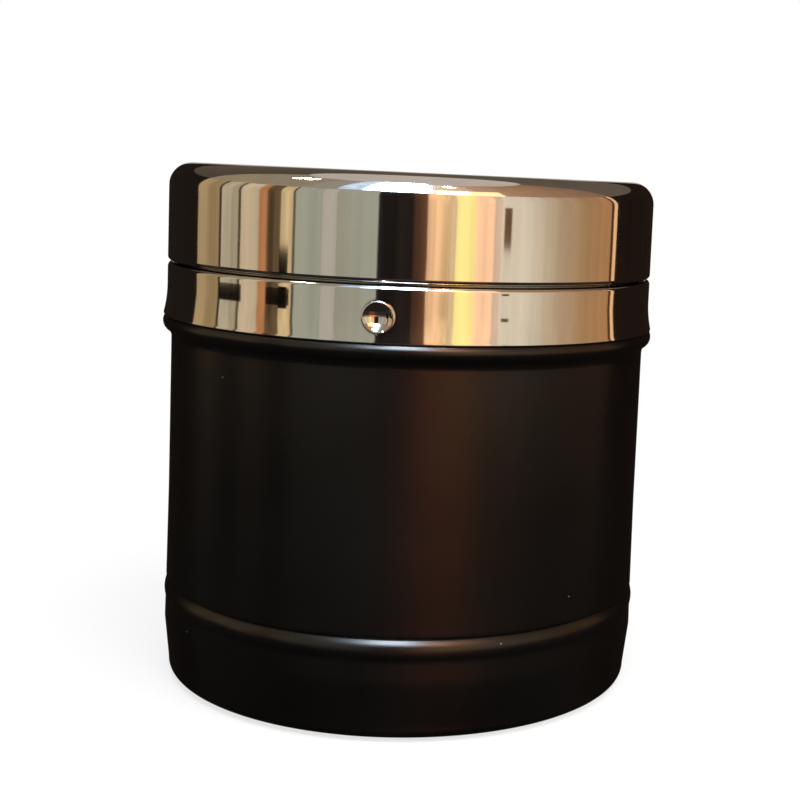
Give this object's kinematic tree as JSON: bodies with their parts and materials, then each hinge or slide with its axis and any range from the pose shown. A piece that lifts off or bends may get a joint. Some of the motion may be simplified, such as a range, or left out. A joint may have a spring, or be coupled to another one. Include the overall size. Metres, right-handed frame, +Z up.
{
  "type": "table lighter",
  "caption": "Drum-shaped table lighter: black steel body, chrome collar and hinged chrome lid with push button, drop-in wick burner inside.",
  "frame": {"origin": "centre of the underside of the foot pad, on the drum's axis", "axes": "+Z up along the drum's axis, -Y towards the push button (front), +Y towards the lid's hinge"},
  "size_m": [0.0756, 0.0799, 0.078],
  "materials": {
    "chrome_plate": "polished",
    "black_coat": "satin",
    "pressed_steel": "satin",
    "spring_steel": "bright drawn",
    "hardened_steel": "dark, toothed",
    "cast_iron": "as cast",
    "screw_steel": "zinc plated",
    "brass": "turned",
    "ferrocerium": "dull pressed",
    "cotton_wick": "braided",
    "rayon_packing": "loose fibre",
    "wool_felt": "pressed felt",
    "foot_felt": "pressed felt"
  },
  "bodies": {
    "drum": {"foot_pad": "foot_felt", "base_cup": "black_coat", "base_weight": "cast_iron", "base_screws": "screw_steel", "body_tube": "black_coat", "collar_ring": "chrome_plate", "guide_ring": "pressed_steel", "deck_plate": "pressed_steel", "deck_screws": "screw_steel", "burner_sleeve": "pressed_steel", "burner_can": "pressed_steel", "chimney": "pressed_steel", "wheel_axle": "brass", "flint_tube": "brass", "flint_screw": "brass", "flint_spring": "spring_steel", "wick": "cotton_wick", "packing": "rayon_packing", "felt_pad": "wool_felt", "spring_catch": "spring_steel", "catch_rivets": "screw_steel", "collar_hinge_leaf": "chrome_plate", "hinge_pin": "spring_steel", "lid_spring": "spring_steel"},
    "lid": {"lid_shell": "chrome_plate", "lid_liner": "pressed_steel", "lid_strike": "pressed_steel", "lid_hinge_leaf": "chrome_plate"},
    "button": {"push_button": "chrome_plate", "button_clip": "spring_steel"},
    "wheel": {"flint_wheel": "hardened_steel"},
    "flint": {"flint": "ferrocerium"}
  },
  "joints": [
    {"name": "lid_hinge", "type": "hinge", "parent": "drum", "child": "lid", "pos_m": [0, 0.0394, 0.06323], "axis": [-1, 0, 0], "range_deg": [0, 100], "deforming": ["lid_spring", "spring_catch"]},
    {"name": "button_push", "type": "slide", "parent": "drum", "child": "button", "axis": [0, 1, 0], "range_m": [0, 0.0012], "stiffness_N_per_m": 700, "springref_m": -0.0006, "deforming": ["spring_catch"]},
    {"name": "wheel_spin", "type": "hinge", "parent": "drum", "child": "wheel", "pos_m": [0.0075, 0, 0.0622], "axis": [0, 1, 0], "continuous": true},
    {"name": "flint_feed", "type": "slide", "parent": "drum", "child": "flint", "axis": [0, 0, -1], "range_m": [0, 0.0025], "stiffness_N_per_m": 300, "springref_m": -0.003, "deforming": ["flint_spring"]}
  ]
}
